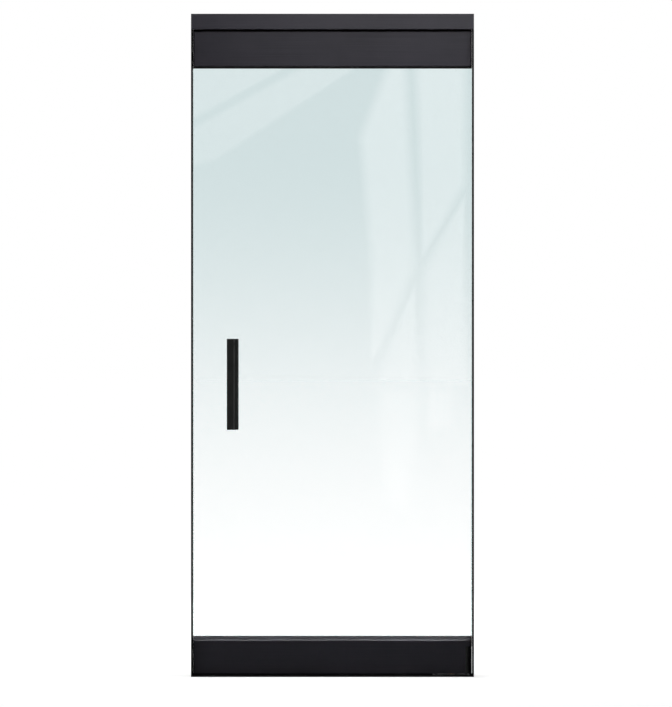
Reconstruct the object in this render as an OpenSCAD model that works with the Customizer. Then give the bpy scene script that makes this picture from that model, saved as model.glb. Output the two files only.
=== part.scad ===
// Full-glass swing door with a top and a bottom rail, hung on centre pivots in a slim metal frame.
// The closer sits in the header. X runs from the lead edge to the pivot side, the front faces -Y, Z is up.

/* [Frame] */
// Overall width of the frame
frame_w = 914; // [800:1:1200]
// Overall height of the frame, from the floor to the top of the header
frame_h = 2142; // [1900:1:2600]
// Depth of the header, the jambs and the threshold
frame_depth = 114; // [110:1:150]

/* [Header] */
// Height of the header
header_h = 50; // [48:1:80]
// Wall thickness of the header
header_wall = 3; // [2.5:0.1:3.4]
// Radius of the header's long edges
header_edge_r = 1.5; // [0.5:0.1:2.4]
// Width of each lip that carries the access cover
header_lip = 9; // [6:0.5:14]
// Thickness of the access cover
cover_t = 2.5; // [1.5:0.1:3]
// Thickness of the angle brackets in the header
bracket_t = 3; // [2:0.1:4]
// Length of a bracket's leg along the header
bracket_len = 34; // [28:1:36]
// Width of a bracket
bracket_w = 44; // [40:1:80]
// Distance between the two screws of a bracket leg
bracket_screw_gap = 24; // [18:1:28]

/* [Jambs] */
// Thickness of a jamb
jamb_t = 3; // [2.8:0.1:6]
// Gap between the leaf and a jamb
side_gap = 2.6; // [2.5:0.1:5]
// Width of the pile strip's backing
pile_w = 7; // [6:0.1:9]
// Thickness of the pile strip's backing
pile_base_t = 1.2; // [0.8:0.1:1.6]
// Margin of backing on each side of the pile
pile_margin = 1.2; // [0.8:0.1:1.6]
// Height of the pile over the jamb
pile_h = 2.1; // [1:0.1:2.1]
// Height of the strip that covers the gap on the pivot side
cover_strip_h = 3; // [2.6:0.1:8]
// Thickness of that strip, front to back
cover_strip_t = 5; // [2:0.1:10]
// Room between the header's pile and the leaf
head_pile_gap = 0.8; // [0.5:0.1:1.5]
// Room left between the pivot jamb's pile and the rails
pile_end_gap = 6; // [3:0.5:12]
// Diameter of the wall fixing holes
wall_hole_d = 6.5; // [5:0.1:7]
// Diameter of their countersinks
wall_head_d = 11; // [10:0.1:12]
// Distance from a jamb's long edges to the wall fixing holes
wall_hole_edge = 19; // [14:0.5:26]
// Distance from a jamb's ends to the first wall fixing holes
wall_hole_end = 150; // [80:1:300]

/* [Threshold] */
// Height of the threshold
threshold_h = 5; // [4.5:0.1:7]
// Height of the threshold's front and back edges
threshold_edge_h = 2; // [1:0.1:3]
// Width of each sloping side of the threshold
threshold_slope_w = 20; // [12:0.5:20]
// Width of a tread groove
groove_w = 2; // [1:0.1:3]
// Depth of a tread groove
groove_d = 0.8; // [0.4:0.1:1.2]
// Distance from the middle to the first groove
groove_start = 12; // [10:0.5:14]
// Distance between grooves
groove_pitch = 6; // [4:0.1:6]
// Distance from the middle to the floor fixing holes, along the threshold
floor_hole_x = 330; // [250:1:340]
// Distance from the middle to the floor fixing holes, across the threshold
floor_hole_y = 31; // [30.5:0.1:31.2]

/* [Leaf] */
// Gap between the header and the top rail
head_gap = 4.5; // [3:0.1:8]
// Gap between the threshold and the bottom rail
foot_gap = 2.6; // [2.6:0.1:7]
// Thickness of the rails
rail_t = 42; // [40:0.1:42.4]
// Height of the top rail
top_rail_h = 113; // [100:1:150]
// Height of the bottom rail
bottom_rail_h = 120.5; // [110:0.5:160]
// Wall thickness of the rails
rail_wall = 3.2; // [2.6:0.1:3.6]
// Radius of the rails' long square edges
rail_edge_r = 1.2; // [0.5:0.1:2]
// Height of the sloping shoulder on the bottom rail
shoulder_h = 12.5; // [12:0.5:18]
// Radius where the shoulder turns into the face
shoulder_r = 8; // [4:0.5:12]
// Flat land between the shoulder and the gasket
shoulder_land = 1.5; // [1:0.1:2.5]
// Thickness and corner radius of the end caps
cap_t = 5; // [4.8:0.1:6]

/* [Rail sections] */
// Depth of the hardware channel
channel_depth = 34; // [32:0.5:38]
// Thickness of the shelf between the channel and the hollow cell
shelf_t = 3; // [2.5:0.1:4]
// Depth of the glass pocket
pocket_depth = 28; // [26:0.5:30]
// Thickness of the web between the cell and the glass pocket
web_t = 4; // [3:0.1:5]
// Thickness of the top rail's pocket lips
lip_t = 3; // [2.5:0.1:4]
// Thickness of the hooks that hold the gaskets
hook_t = 2.5; // [2:0.1:3]
// Height of a gasket hook
hook_h = 9; // [8:0.1:11]
// Outer radius of a screw port
port_r = 4.5; // [4:0.1:5.5]
// Distance from a screw port's middle to the wall it grows from
port_in = 6; // [5.5:0.1:7]
// Width of the stem that joins a screw port to its wall
port_stem_w = 5; // [3:0.1:6]
// Width of the ledges that the channel fillers snap behind
ledge_w = 2.5; // [1.5:0.1:3]
// Height of those ledges
ledge_t = 2; // [1.5:0.1:3]
// Thickness of the channel fillers
filler_t = 3; // [2:0.1:3.5]
// Thickness of the fillers' snap legs
filler_leg_t = 1.5; // [1:0.1:2]
// Length of the snap legs past the ledges
filler_leg_h = 2.5; // [1.5:0.1:3]

/* [Glass and seals] */
// Thickness of the glass
glass_t = 12; // [10:0.1:13]
// Width of the ground arris on the upright edges
arris = 0.6; // [0.5:0.1:2]
// Thickness of the pads at the glass's top and bottom edges
pad_t = 4; // [3:0.1:5]
// Length of those pads
pad_len = 80; // [50:1:120]
// Thickness of the top rail's gaskets
top_gasket_t = 4; // [3:0.1:5]
// Thickness of the bottom rail's gaskets
bottom_gasket_t = 2.5; // [2:0.1:3.5]
// Height of the gasket bead that shows under the top rail
bead_h = 5.8; // [3:0.1:6.5]
// Width of that bead
bead_w = 7; // [5.5:0.1:8]
// Length of a clamping wedge
wedge_len = 60; // [40:1:80]
// Height of a clamping wedge
wedge_h = 10; // [7:0.1:11]
// Taper of a clamping wedge over its height
wedge_taper = 1.5; // [0.5:0.1:2.5]
// Width of the brush strip under the leaf
sweep_w = 7; // [5:0.1:9]
// Height of the brush strip's seat in its filler
sweep_seat_h = 4; // [3:0.1:6]
// Room between the brush and the threshold
sweep_gap = 0.8; // [0.5:0.1:1.5]

/* [Pull handle] */
// Distance from the leaf's lead edge to the middle of the handle
pull_inset = 128; // [90:1:180]
// Height of the middle of the handle over the floor
pull_height = 945; // [850:1:1100]
// Length of the handle
pull_len = 294; // [250:1:600]
// Width of the handle
pull_w = 35.5; // [30:0.1:45]
// Depth of the handle's bar, front to back
pull_d = 20; // [17:0.1:26]
// Width of the bevel on the handle's grip side
pull_bevel_w = 12; // [8:0.1:14]
// Depth of that bevel
pull_bevel_d = 7; // [4:0.1:8]
// Radius of the bar's edges
pull_edge_r = 1.5; // [0.5:0.1:2]
// Clear space between the handle's bar and the glass
pull_standoff = 38; // [32:0.5:60]
// Distance between the two posts
pull_centres = 200; // [150:1:230]
// Diameter of a post
post_d = 18; // [16:0.1:22]
// Depth to which a post enters the bar
post_seat = 6; // [4:0.1:8]
// Diameter of the studs through the glass
stud_d = 8; // [6:0.1:10]
// Length of stud in each post
stud_in = 22; // [15:0.5:26]
// Diameter of the holes in the glass
glass_hole_d = 14; // [13:0.1:16]
// Diameter of the washers on the glass
washer_d = 26; // [22:0.1:32]
// Thickness of those washers
washer_t = 1.5; // [1:0.1:2]
// Diameter of the grub screws in the bar
grub_d = 5; // [4:0.1:6]

/* [Pivots] */
// Distance from the jamb's face to the pivot axis
pivot_setback = 70; // [69:0.5:80]
// Diameter of the floor pivot's pin
pin_d = 16; // [12:0.1:18]
// Length of the pin inside its bush
pin_in = 22; // [16:0.5:24]
// Chamfer on the pin's tip
pin_chamfer = 1.5; // [0.5:0.1:2.5]
// Diameter of the pin's collar and the bush's flange
collar_d = 27; // [25:0.1:29]
// Wall thickness of the bush
bush_t = 2.5; // [2:0.1:3.5]
// Thickness of the bush's flange
flange_t = 1.5; // [1:0.1:2]
// Length of the floor plate
plate_len = 120; // [110:1:130]
// Width of the floor plate
plate_w = 46; // [44:0.5:48]
// Corner radius of the floor plate, the pivot block and the closer
plate_r = 4; // [2:0.5:8]
// Distance between the floor plate's holes along its length
plate_hole_x = 96; // [84:1:96]
// Distance between the floor plate's holes across its width
plate_hole_y = 26; // [20:0.5:30]
// Length of the pivot block on the lead side of the axis
block_back = 62; // [56:0.5:90]
// Length of the pivot block on the pivot side of the axis
block_front = 38; // [34:0.5:42]
// Diameter of the screws in the pivot block and the arm
bolt_d = 8; // [6:0.1:9]
// Diameter of their heads
bolt_head_d = 13; // [11:0.1:14]
// Height of their heads
bolt_head_h = 8; // [6:0.1:9]
// Length of screw past the shelf
bolt_past = 6; // [4:0.1:10]

/* [Closer] */
// Length of the closer's spring tube, from the axis
closer_len = 230; // [200:1:320]
// Width of the closer's body
closer_w = 62; // [56:0.5:70]
// Height of the closer's body
closer_h = 36; // [32:0.5:38]
// Half length of the closer's body along the header
closer_half_len = 28; // [26:0.5:30]
// Gap between the spring tube and the header's top
tube_gap = 1; // [0.5:0.1:2]
// Length of the tube's end plug
plug_len = 12; // [8:0.5:20]
// Thickness of the closer's mounting lug
lug_t = 5; // [4:0.1:7]
// Length of the closer's mounting lug
lug_len = 36; // [30:1:50]
// Distance between the closer's screws, across the header
closer_screw_gap = 44; // [40:0.5:46]
// Diameter of the spindle
spindle_d = 18; // [16:0.1:22]
// Side of the spindle's square end
spindle_square = 12; // [10:0.1:12.5]
// Length of the spindle inside the closer
spindle_in = 20; // [14:0.5:24]
// Depth of the square socket in the arm
socket_depth = 16; // [12:0.5:20]
// Gap round the spindle in the covers
spindle_room = 4; // [2:0.1:6]
// Length of the arm from the axis
arm_len = 130; // [100:1:200]
// Width of the arm's bar
arm_w = 24; // [20:0.5:28]
// Height of the arm
arm_h = 24; // [22:0.5:26]
// Diameter of the closer's valve screws
valve_d = 8; // [6:0.1:9]
// Depth of the valve screws
valve_h = 5; // [4:0.1:8]

/* [Fasteners] */
// Diameter of the countersunk screws
screw_d = 5; // [4:0.1:5.4]
// Diameter of their heads
screw_head_d = 9; // [8:0.1:10]
// Length of a countersunk screw past the pieces it joins
screw_past = 5; // [3:0.1:6]
// Diameter of the end cap screws
cap_screw_d = 4; // [3:0.1:4.4]
// Diameter of the end cap screws' heads
cap_screw_head_d = 8; // [7:0.1:8.4]
// Length of an end cap screw inside the rail
cap_screw_in = 18; // [12:0.5:30]
// Depth of the counterbores in the rounded heel
heel_bore_depth = 11; // [8:0.5:13]

/* [Hidden] */
$fn = 64;

// Fits: a running fit, a screw in its hole, a piece that slides into its seat, and the overrun of a cut
run_fit = 0.06;
screw_fit = 0.1;
seat = 0.3;
overrun = 1;

// Shares: the sockets and slots of the screws, then the places of what repeats along its carrier
socket_share = 0.6;
socket_depth_share = 0.45;
slot_share = 0.2;
slot_depth_share = 0.3;
wedge_shares = [-0.8, -0.4, 0, 0.4, 0.8];
pad_shares = [-0.5, 0.5];
wall_hole_shares = [0, 0.5, 1];
bracket_screw_share = 0.6;
arm_screw_shares = [0.62, 0.9];
valve_shares = [0.6, 0.3];
block_screw_shares = [0.75, 0.6];

// Frame
half_w = frame_w / 2;
half_depth = frame_depth / 2;
header_z = frame_h - header_h;
header_ceiling = frame_h - header_wall;
jamb_face = half_w - jamb_t;
tongue_half = half_depth - header_wall - seat;
wall_hole_y = half_depth - wall_hole_edge;
wall_hole_span = header_z - 2 * wall_hole_end;
bracket_screw_x = jamb_face - bracket_len * bracket_screw_share;
bracket_screw_z = header_z + (header_h + header_wall) / 2;

// Leaf
leaf_half = jamb_face - side_gap;
rail_half = rail_t / 2;
rail_end = leaf_half - cap_t;
heel_x = leaf_half - rail_half;
cell_half = rail_half - rail_wall;
bottom_rail_z = threshold_h + foot_gap;
top_rail_z = header_z - head_gap - top_rail_h;
glass_half = glass_t / 2;
top_mouth = glass_half + top_gasket_t;
bottom_mouth = glass_half + bottom_gasket_t;
hardware_half = cell_half - ledge_w - seat;

// Levels in the top rail, over its underside
top_web = [pocket_depth, pocket_depth + web_t];
top_shelf = [top_rail_h - channel_depth - shelf_t, top_rail_h - channel_depth];
top_ports = [top_web[1] + port_in, top_shelf[0] - port_in];

// Levels in the bottom rail, over its underside
bottom_shelf = [channel_depth, channel_depth + shelf_t];
bottom_web = [bottom_rail_h - pocket_depth - web_t, bottom_rail_h - pocket_depth];
bottom_ports = [bottom_shelf[1] + port_in, bottom_web[0] - port_in];
knee = bottom_rail_h - shoulder_h;
shoulder_out = bottom_mouth + shoulder_land;
shoulder_angle = atan2(rail_half - shoulder_out, shoulder_h);
hook_out = bottom_mouth + hook_t;
hook_foot = bottom_rail_h - hook_h - lip_t;

// Glass
glass_z = bottom_rail_z + bottom_web[1] + pad_t;
glass_top = top_rail_z + top_web[0] - pad_t;
pull_x = pull_inset - leaf_half;
pull_levels = [pull_height - pull_centres / 2, pull_height + pull_centres / 2];
bar_back = glass_half + pull_standoff;
bar_front = bar_back + pull_d;

// Pivots and closer
pivot_x = jamb_face - pivot_setback;
closer_z = header_ceiling - closer_h;
tube_r = closer_h / 2 - tube_gap;
arm_z = top_rail_z + top_shelf[1];
arm_top = arm_z + arm_h;
arm_screw_places = [for (share = arm_screw_shares) pivot_x - arm_len * share];
lug_x = pivot_x - closer_len + lug_len / 2;
closer_screw_places = [for (x = [lug_x, pivot_x], s = [-1, 1]) [x, s * closer_screw_gap / 2]];
valve_x = pivot_x - closer_half_len * valve_shares[0];
valve_places = [for (s = [-1, 1]) [valve_x, s * closer_w * valve_shares[1]]];
block_screw_places = [
    pivot_x - block_back * block_screw_shares[0],
    pivot_x + block_front * block_screw_shares[1]
];

// Colours
satin_black = [0.21, 0.21, 0.23];
rail_black = [0.17, 0.17, 0.19];
jet_black = [0.04, 0.04, 0.045];
pale_glass = [0.82, 0.9, 0.9, 0.5];
rubber_black = [0.07, 0.07, 0.07];
steel = [0.6, 0.61, 0.63];
bronze = [0.62, 0.45, 0.25];
nylon = [0.88, 0.88, 0.86];
cast_grey = [0.35, 0.36, 0.37];

// A section drawn in Y and Z, run along X
module run_x(x0, x1) {
    translate([x0, 0, 0]) rotate([90, 0, 90]) linear_extrude(x1 - x0) children();
}

// A plan drawn in X and Y, run up Z
module run_z(z0, z1) {
    translate([0, 0, z0]) linear_extrude(z1 - z0) children();
}

module both_x() {
    children();
    mirror([1, 0, 0]) children();
}

module both_y() {
    children();
    mirror([0, 1, 0]) children();
}

// The right half of an outline, completed by its mirror image
function whole(half) = concat(half, [for (i = [len(half) - 1 : -1 : 0]) [-half[i][0], half[i][1]]]);

// A rectangle on its bottom edge, with round corners
module soft_rect(w, h, r) {
    translate([r - w / 2, 0]) square([w - 2 * r, h]);
    translate([-w / 2, r]) square([w, h - 2 * r]);
    for (s = [-1, 1], y = [r, h - r]) translate([s * (w / 2 - r), y]) circle(r);
}

// A rectangle about the origin, with round corners
module soft_plan(w, d, r) {
    translate([0, -d / 2]) soft_rect(w, d, r);
}

function unit(v) = v / norm(v);
function ring(list, i) = list[(i + len(list)) % len(list)];
// Where the centre of a corner's round lies
function round_centre(p, a, b, r) =
    let (u = unit(a - p), v = unit(b - p), half = acos(u * v) / 2)
    p + unit(u + v) * r / sin(half);

// A convex outline, counter-clockwise, with each corner rounded
module soft_polygon(points, r) {
    count = len(points);
    centres = [
        for (i = [0 : count - 1]) round_centre(points[i], ring(points, i - 1), ring(points, i + 1), r)
    ];
    polygon(centres);
    for (i = [0 : count - 1]) {
        a = centres[i];
        b = ring(centres, i + 1);
        along = unit(b - a);
        out = [along[1], -along[0]] * r;
        polygon([a, a + out, b + out, b]);
        translate(a) circle(r);
    }
}

// Countersunk screw: the head's face lies at the origin and the screw points down
module countersunk_screw(d, head_d, length) {
    head_h = (head_d - d) / 2;
    difference() {
        union() {
            translate([0, 0, -length]) cylinder(d = d, h = length - head_h);
            translate([0, 0, -head_h]) cylinder(d1 = d, d2 = head_d, h = head_h);
        }
        translate([0, 0, -d * socket_depth_share])
            cylinder(d = d * socket_share, h = d * socket_depth_share + overrun, $fn = 6);
    }
}

// The hole that a countersunk screw sits in, wider all round by the fit
module countersunk_hole(d, head_d, length, fit) {
    head_h = (head_d - d) / 2;
    translate([0, 0, -length]) cylinder(d = d + 2 * fit, h = length + overrun);
    translate([0, 0, -head_h]) cylinder(d1 = d + 2 * fit, d2 = head_d + 2 * fit, h = head_h);
    cylinder(d = head_d + 2 * fit, h = overrun);
}

// Socket head screw: the underside of the head lies at the origin and the screw points down
module socket_screw(length) {
    difference() {
        union() {
            translate([0, 0, -length]) cylinder(d = bolt_d, h = length);
            cylinder(d = bolt_head_d, h = bolt_head_h);
        }
        translate([0, 0, bolt_head_h * (1 - socket_depth_share)])
            cylinder(d = bolt_d * socket_share, h = bolt_head_h, $fn = 6);
    }
}

// The hole and counterbore for a socket head screw
module socket_hole(length, bore_h) {
    translate([0, 0, -length]) cylinder(d = bolt_d + 2 * screw_fit, h = length + overrun);
    cylinder(d = bolt_head_d + 2 * seat, h = bore_h);
}

// Places of the screws that hold the header to its brackets, and the jambs to the brackets
module bracket_top_places(side) {
    for (s = [-1, 1])
        translate([side * bracket_screw_x, s * bracket_screw_gap / 2, frame_h]) children();
}

module bracket_side_places(side) {
    for (s = [-1, 1])
        translate([side * half_w, s * bracket_screw_gap / 2, bracket_screw_z])
            rotate([0, side * 90, 0]) children();
}

bracket_screw_len = header_wall + bracket_t + screw_past;
jamb_screw_len = jamb_t + bracket_t + screw_past;
closer_screw_len = header_wall + lug_t + screw_past;

module header_section() {
    difference() {
        translate([0, header_z]) soft_rect(frame_depth, header_h, header_edge_r);
        translate([header_wall - half_depth, header_z + header_wall])
            square([frame_depth - 2 * header_wall, header_h - 2 * header_wall]);
        translate([header_wall + header_lip - half_depth, header_z - overrun])
            square([frame_depth - 2 * (header_wall + header_lip), header_wall + 2 * overrun]);
    }
}

module header() {
    color(satin_black) difference() {
        run_x(-half_w, half_w) header_section();
        both_x() translate([jamb_face - seat, -tongue_half - seat, header_z - overrun])
            cube([jamb_t + seat + overrun, 2 * (tongue_half + seat), header_wall + 2 * overrun]);
        for (side = [-1, 1]) bracket_top_places(side)
            countersunk_hole(screw_d, screw_head_d, header_wall + overrun, screw_fit);
        for (p = closer_screw_places) translate([p[0], p[1], frame_h])
            countersunk_hole(screw_d, screw_head_d, header_wall + overrun, screw_fit);
    }
}

module header_cover() {
    cover_half = jamb_face - seat;
    color(satin_black) difference() {
        translate([-cover_half, -tongue_half, header_z + header_wall])
            cube([2 * cover_half, 2 * tongue_half, cover_t]);
        translate([pivot_x, 0, header_z])
            cylinder(d = spindle_d + 2 * spindle_room, h = header_wall + cover_t + overrun);
    }
}

// Pile strip along the header on both sides of the spindle, hung from the cover down to the leaf
module header_pile_run(x0, x1) {
    root = pile_w / 2 - pile_margin;
    tip = root - pile_margin / 2;
    drop = header_wall + head_gap - head_pile_gap;
    color(rubber_black) translate([0, 0, header_z + header_wall]) run_x(x0, x1) {
        translate([-pile_w / 2, -pile_base_t]) square([pile_w, pile_base_t]);
        polygon(whole([[tip, -drop], [root, -pile_base_t]]));
    }
}

module header_pile() {
    pile_room = (spindle_d + spindle_room) / 2;
    pile_reach = jamb_face - pile_h - pile_margin;
    header_pile_run(-pile_reach, pivot_x - pile_room);
    header_pile_run(pivot_x + pile_room, pile_reach);
}

module header_bracket(side) {
    foot = header_z + header_wall + cover_t + seat;
    color(steel) difference() {
        mirror([side < 0 ? 1 : 0, 0, 0]) {
            translate([jamb_face - bracket_t, -bracket_w / 2, foot])
                cube([bracket_t, bracket_w, header_ceiling - foot]);
            translate([jamb_face - bracket_len, -bracket_w / 2, header_ceiling - bracket_t])
                cube([bracket_len, bracket_w, bracket_t]);
        }
        bracket_top_places(side) countersunk_hole(screw_d, screw_head_d, bracket_screw_len, screw_fit);
        bracket_side_places(side) countersunk_hole(screw_d, screw_head_d, jamb_screw_len, screw_fit);
    }
}

module header_bracket_left() {
    header_bracket(-1);
}

module header_bracket_right() {
    header_bracket(1);
}

module header_bracket_screws() {
    color(steel) for (side = [-1, 1])
        bracket_top_places(side) countersunk_screw(screw_d, screw_head_d, bracket_screw_len);
}

// Jamb: a flat lining with a groove for its pile strip and a tongue that rises into the header
module jamb(side) {
    color(jet_black) difference() {
        mirror([side < 0 ? 1 : 0, 0, 0]) difference() {
            union() {
                translate([jamb_face, -half_depth, 0]) cube([jamb_t, frame_depth, header_z]);
                translate([jamb_face, -tongue_half, 0]) cube([jamb_t, 2 * tongue_half, header_ceiling]);
            }
            translate([jamb_face - overrun, -pile_w / 2, -overrun])
                cube([pile_base_t + overrun, pile_w, header_z + overrun]);
            for (s = [-1, 1], share = wall_hole_shares)
                translate([jamb_face, s * wall_hole_y, wall_hole_end + share * wall_hole_span])
                    rotate([0, -90, 0]) countersunk_hole(wall_hole_d, wall_head_d, jamb_t + overrun, 0);
        }
        bracket_side_places(side) countersunk_hole(screw_d, screw_head_d, jamb_t + overrun, screw_fit);
    }
}

module jamb_left() {
    jamb(-1);
}

module jamb_right() {
    jamb(1);
}

// Strip bonded to the pivot jamb's front edge, clear of the leaf's heel as it turns
module jamb_cover_strip() {
    color(jet_black)
        translate([jamb_face - cover_strip_h, -half_depth, threshold_h])
            cube([cover_strip_h, cover_strip_t, header_z - threshold_h]);
}

module jamb_screws() {
    color(steel) for (side = [-1, 1])
        bracket_side_places(side) countersunk_screw(screw_d, screw_head_d, jamb_screw_len);
}

// Pile strip on its backing, for the jamb on the pivot side
module pile_strip(z0, z1) {
    root = pile_w / 2 - pile_margin;
    tip = root - pile_margin / 2;
    color(rubber_black) run_z(z0, z1) {
        translate([jamb_face, -pile_w / 2]) square([pile_base_t, pile_w]);
        polygon([
            [jamb_face, -root], [jamb_face, root], [jamb_face - pile_h, tip], [jamb_face - pile_h, -tip]
        ]);
    }
}

module jamb_pile_left() {
    mirror([1, 0, 0]) pile_strip(threshold_h, header_z);
}

module jamb_pile_right() {
    pile_strip(bottom_rail_z + bottom_rail_h + pile_end_gap, top_rail_z - bead_h - pile_end_gap);
}

module threshold_section() {
    flat_half = half_depth - threshold_slope_w;
    groove_end = flat_half - groove_pitch - groove_w;
    difference() {
        polygon(whole([[half_depth, 0], [half_depth, threshold_edge_h], [flat_half, threshold_h]]));
        for (s = [-1, 1], y = [groove_start : groove_pitch : groove_end])
            translate([s * y - groove_w / 2, threshold_h - groove_d])
                square([groove_w, groove_d + overrun]);
    }
}

module threshold() {
    color(jet_black) difference() {
        run_x(-jamb_face, jamb_face) threshold_section();
        translate([pivot_x, 0]) run_z(-overrun, threshold_h + overrun)
            soft_plan(plate_len + 2 * seat, plate_w + 2 * seat, plate_r + seat);
        for (x = [-1, 1], y = [-1, 1]) translate([x * floor_hole_x, y * floor_hole_y, threshold_h])
            countersunk_hole(wall_hole_d, wall_head_d, threshold_h + overrun, 0);
    }
}

module floor_pivot_plate() {
    color(jet_black) translate([pivot_x, 0, 0]) difference() {
        run_z(0, threshold_h) soft_plan(plate_len, plate_w, plate_r);
        translate([0, 0, -overrun]) cylinder(d = pin_d + 2 * screw_fit, h = threshold_h + 2 * overrun);
        for (x = [-1, 1], y = [-1, 1]) translate([x * plate_hole_x / 2, y * plate_hole_y / 2, threshold_h])
            countersunk_hole(wall_hole_d, wall_head_d, threshold_h + overrun, 0);
    }
}

// Pin: turned in one piece with its collar, which stands on the plate and carries the leaf
module floor_pivot_pin() {
    pin_r = pin_d / 2;
    collar_z = bottom_rail_z - flange_t;
    tip = bottom_rail_z + pin_in;
    color(steel) translate([pivot_x, 0, 0]) rotate_extrude() polygon([
        [0, 0], [pin_r, 0], [pin_r, threshold_h], [collar_d / 2, threshold_h], [collar_d / 2, collar_z],
        [pin_r, collar_z], [pin_r, tip - pin_chamfer], [pin_r - pin_chamfer, tip], [0, tip]
    ]);
}

// Closer: a pinion body with a spring tube, hung from the header by its own top and a lug
module closer_body() {
    color(cast_grey) difference() {
        union() {
            translate([pivot_x, 0]) run_z(closer_z, header_ceiling)
                soft_plan(2 * closer_half_len, closer_w, plate_r);
            translate([pivot_x - closer_len, 0, closer_z + closer_h / 2]) rotate([0, 90, 0])
                cylinder(r = tube_r, h = closer_len);
            translate([pivot_x - closer_len - plug_len, 0, closer_z + closer_h / 2]) rotate([0, 90, 0])
                cylinder(d = tube_r, h = plug_len + overrun);
            translate([lug_x, 0]) run_z(header_ceiling - lug_t, header_ceiling)
                soft_plan(lug_len, closer_w, plate_r);
        }
        translate([pivot_x, 0, closer_z - overrun])
            cylinder(d = spindle_d + 2 * run_fit, h = spindle_in + seat + overrun);
        for (p = closer_screw_places) translate([p[0], p[1], frame_h])
            countersunk_hole(screw_d, screw_head_d, closer_screw_len + seat, screw_fit);
        for (p = valve_places) translate([p[0], p[1], closer_z - overrun])
            cylinder(d = valve_d + 2 * screw_fit, h = valve_h + overrun);
    }
}

module closer_screws() {
    color(steel) for (p = closer_screw_places) translate([p[0], p[1], frame_h])
        countersunk_screw(screw_d, screw_head_d, closer_screw_len);
}

module closer_valves() {
    slot = valve_d * slot_share;
    color(bronze) for (p = valve_places) translate([p[0], p[1], closer_z]) difference() {
        cylinder(d = valve_d, h = valve_h);
        translate([-valve_d / 2 - overrun, -slot / 2, -overrun])
            cube([valve_d + 2 * overrun, slot, valve_h * slot_depth_share + overrun]);
    }
}

// Glass: one toughened sheet, its upright edges ground to an arris, with two holes for the handle
module glass_panel() {
    color(pale_glass) difference() {
        run_z(glass_z, glass_top) polygon([
            [arris - leaf_half, -glass_half], [leaf_half - arris, -glass_half],
            [leaf_half, arris - glass_half], [leaf_half, glass_half - arris],
            [leaf_half - arris, glass_half], [arris - leaf_half, glass_half],
            [-leaf_half, glass_half - arris], [-leaf_half, arris - glass_half]
        ]);
        for (z = pull_levels) translate([pull_x, 0, z]) rotate([90, 0, 0])
            cylinder(d = glass_hole_d, h = glass_t + 2 * overrun, center = true);
    }
}

// Hardware channel of a rail, opening upward from the rail's edge, with a ledge along each wall
module channel_cut() {
    difference() {
        translate([-cell_half, -channel_depth]) square([2 * cell_half, channel_depth + overrun]);
        for (s = [-1, 1]) translate([s * (cell_half - ledge_w / 2) - ledge_w / 2, -filler_t - ledge_t])
            square([ledge_w, ledge_t]);
    }
}

// Depth of the screw holes through a shelf and the screw port behind it
bolt_hole_h = shelf_t + bolt_past + overrun;

// Hollow cell of a rail, with a screw port on a stem at its top and bottom
module cell_cut(z0, z1, ports) {
    difference() {
        translate([-cell_half, z0]) square([2 * cell_half, z1 - z0]);
        for (z = ports) translate([0, z]) circle(port_r);
        for (z = [z0, z1 - port_in]) translate([-port_stem_w / 2, z]) square([port_stem_w, port_in]);
    }
    for (z = ports) translate([0, z]) circle(d = cap_screw_d + 2 * screw_fit);
}

module top_rail_section() {
    difference() {
        soft_rect(rail_t, top_rail_h, rail_edge_r);
        polygon(whole([
            [top_mouth, -overrun], [top_mouth, hook_h], [top_mouth + hook_t, hook_h],
            [top_mouth + hook_t, lip_t], [cell_half, lip_t], [cell_half, top_web[0]]
        ]));
        cell_cut(top_web[1], top_shelf[0], top_ports);
        translate([0, top_rail_h]) channel_cut();
    }
}

module top_rail() {
    color(rail_black) difference() {
        translate([0, 0, top_rail_z]) run_x(-rail_end, rail_end) top_rail_section();
        for (x = arm_screw_places) translate([x, 0, arm_z - bolt_hole_h])
            cylinder(d = bolt_d + 2 * screw_fit, h = bolt_hole_h + overrun);
    }
}

// The round between the bottom rail's face and its sloping shoulder, as the sliver that it takes off
module knee_round() {
    reach = shoulder_r * tan(shoulder_angle / 2);
    low = [rail_half, knee - reach];
    high = [rail_half - reach * sin(shoulder_angle), knee + reach * cos(shoulder_angle)];
    centre = [rail_half - shoulder_r, knee - reach];
    away = [cos(shoulder_angle), sin(shoulder_angle)] * overrun;
    difference() {
        polygon([low, low + [overrun, 0], [rail_half + overrun, knee], high + away, high, centre]);
        translate(centre) circle(shoulder_r);
    }
}

module bottom_rail_outline() {
    difference() {
        intersection() {
            soft_rect(rail_t, bottom_rail_h + 2 * rail_edge_r, rail_edge_r);
            polygon(whole([
                [rail_half, -overrun], [rail_half, knee], [shoulder_out, bottom_rail_h]
            ]));
        }
        knee_round();
        mirror([1, 0]) knee_round();
    }
}

module bottom_rail_section() {
    slope = 1 / tan(shoulder_angle);
    // Height of the pocket's sloping wall at a distance from the middle
    function under(y) = knee + (rail_half - y) * slope - rail_wall / sin(shoulder_angle);
    difference() {
        bottom_rail_outline();
        polygon(whole([
            [cell_half, bottom_web[1]], [cell_half, under(cell_half)], [hook_out, under(hook_out)],
            [hook_out, hook_foot], [bottom_mouth, hook_foot], [bottom_mouth, bottom_rail_h + overrun]
        ]));
        cell_cut(bottom_shelf[1], bottom_web[0], bottom_ports);
        mirror([0, 1]) channel_cut();
    }
}

module bottom_rail() {
    color(rail_black) difference() {
        translate([0, 0, bottom_rail_z]) run_x(-rail_end, rail_end) bottom_rail_section();
        translate([heel_x, -rail_half - overrun, bottom_rail_z - overrun])
            cube([rail_half + overrun, rail_t + 2 * overrun, bottom_web[0] + overrun]);
        for (x = block_screw_places) translate([x, 0, bottom_rail_z + bottom_shelf[0] - overrun])
            cylinder(d = bolt_d + 2 * screw_fit, h = bolt_hole_h + overrun);
    }
}

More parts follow.
